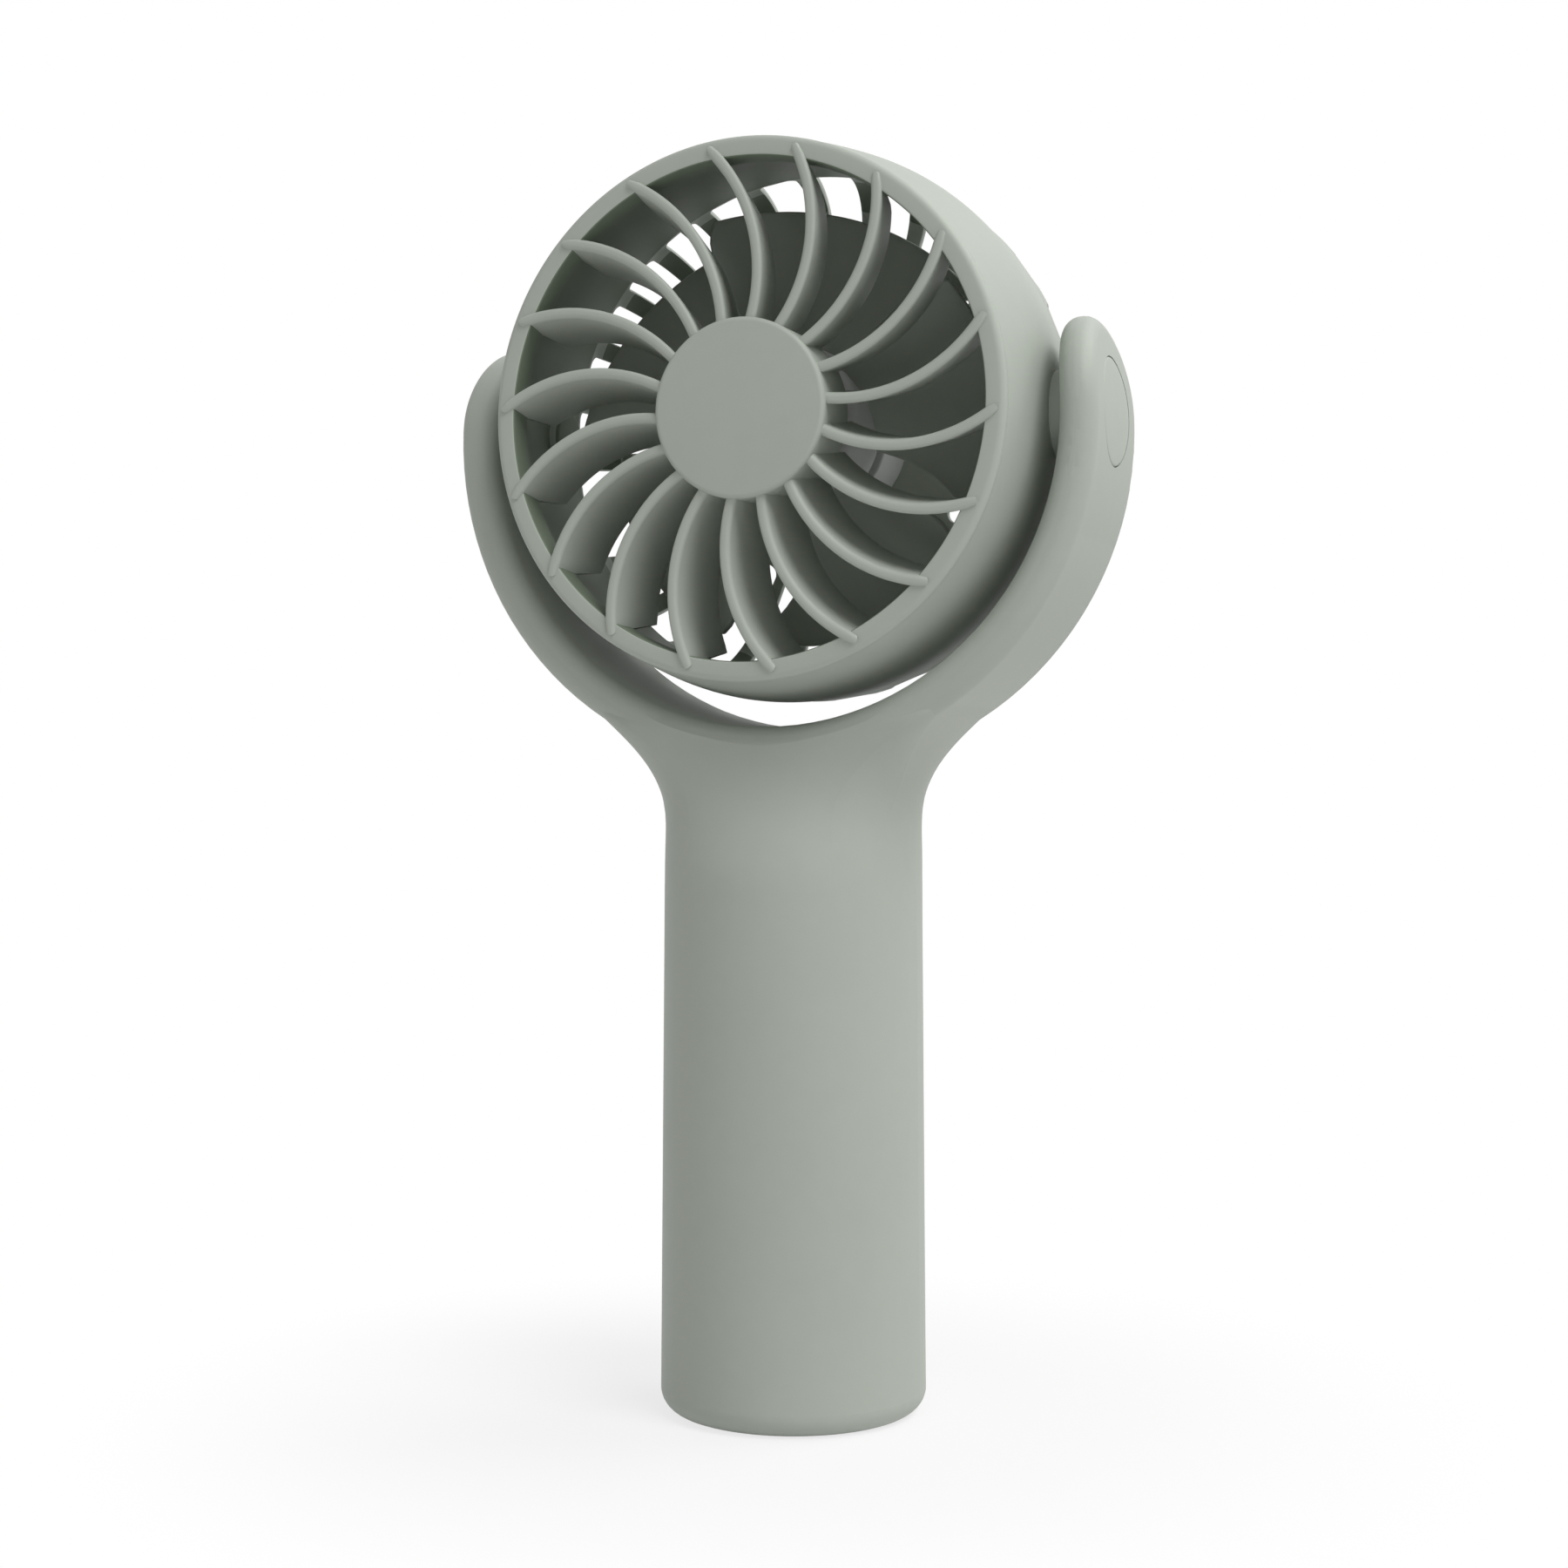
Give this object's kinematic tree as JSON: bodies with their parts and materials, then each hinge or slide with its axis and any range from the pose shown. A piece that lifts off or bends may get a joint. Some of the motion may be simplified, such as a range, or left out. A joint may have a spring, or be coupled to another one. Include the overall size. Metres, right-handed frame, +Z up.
{
  "type": "handheld battery fan",
  "caption": "Handheld battery fan: a round head with a swirling front grille tilts between the two arms of a yoke moulded in one with a cylindrical grip.",
  "frame": {"origin": "centre of the grip's flat bottom", "axes": "+Z up along the grip, +X to the right along the tilt axis seen from the front, the fan blows towards -Y"},
  "size_m": [0.0978, 0.0423, 0.1864],
  "materials": {
    "shell_green": "matte",
    "grille_green": "matte",
    "button_green": "matte",
    "blade_green": "matte",
    "inner_black": "matte",
    "board_green": "satin",
    "steel": "satin",
    "brass": "satin",
    "motor_steel": "satin",
    "magnet_grey": "matte",
    "copper": "satin",
    "cell_wrap": "gloss",
    "washer_white": "matte",
    "clear_light": "gloss",
    "lead_black": "satin"
  },
  "bodies": {
    "handle": {"handle_shell": "shell_green", "base_cap": "shell_green", "battery_cell": "cell_wrap", "battery_cradle": "inner_black", "circuit_board": "board_green", "board_screws": "steel", "charging_socket": "steel", "push_switch": "inner_black", "light_pipe": "clear_light", "arm_lead": "lead_black", "pivot_cap_right": "shell_green", "pivot_cap_left": "shell_green", "pivot_pins": "steel", "friction_washers": "washer_white"},
    "head": {"head_housing": "shell_green", "front_grille": "grille_green", "rear_cover": "shell_green", "motor_can": "motor_steel", "motor_end_bell": "inner_black", "motor_bush": "brass", "motor_magnet": "magnet_grey"},
    "fan": {"motor_shaft": "steel", "motor_rotor": "copper", "impeller": "blade_green"},
    "button": {"power_button": "button_green"}
  },
  "joints": [
    {"name": "head_tilt", "type": "hinge", "parent": "handle", "child": "head", "pos_m": [0, 0, 0.1456], "axis": [1, 0, 0], "range_deg": [-90, 90]},
    {"name": "fan_spin", "type": "hinge", "parent": "head", "child": "fan", "pos_m": [0, 0, 0.1456], "axis": [0, 1, 0], "continuous": true},
    {"name": "button_press", "type": "slide", "parent": "handle", "child": "button", "axis": [0, -1, 0], "range_m": [0, 0.0005], "stiffness_N_per_m": 400}
  ]
}
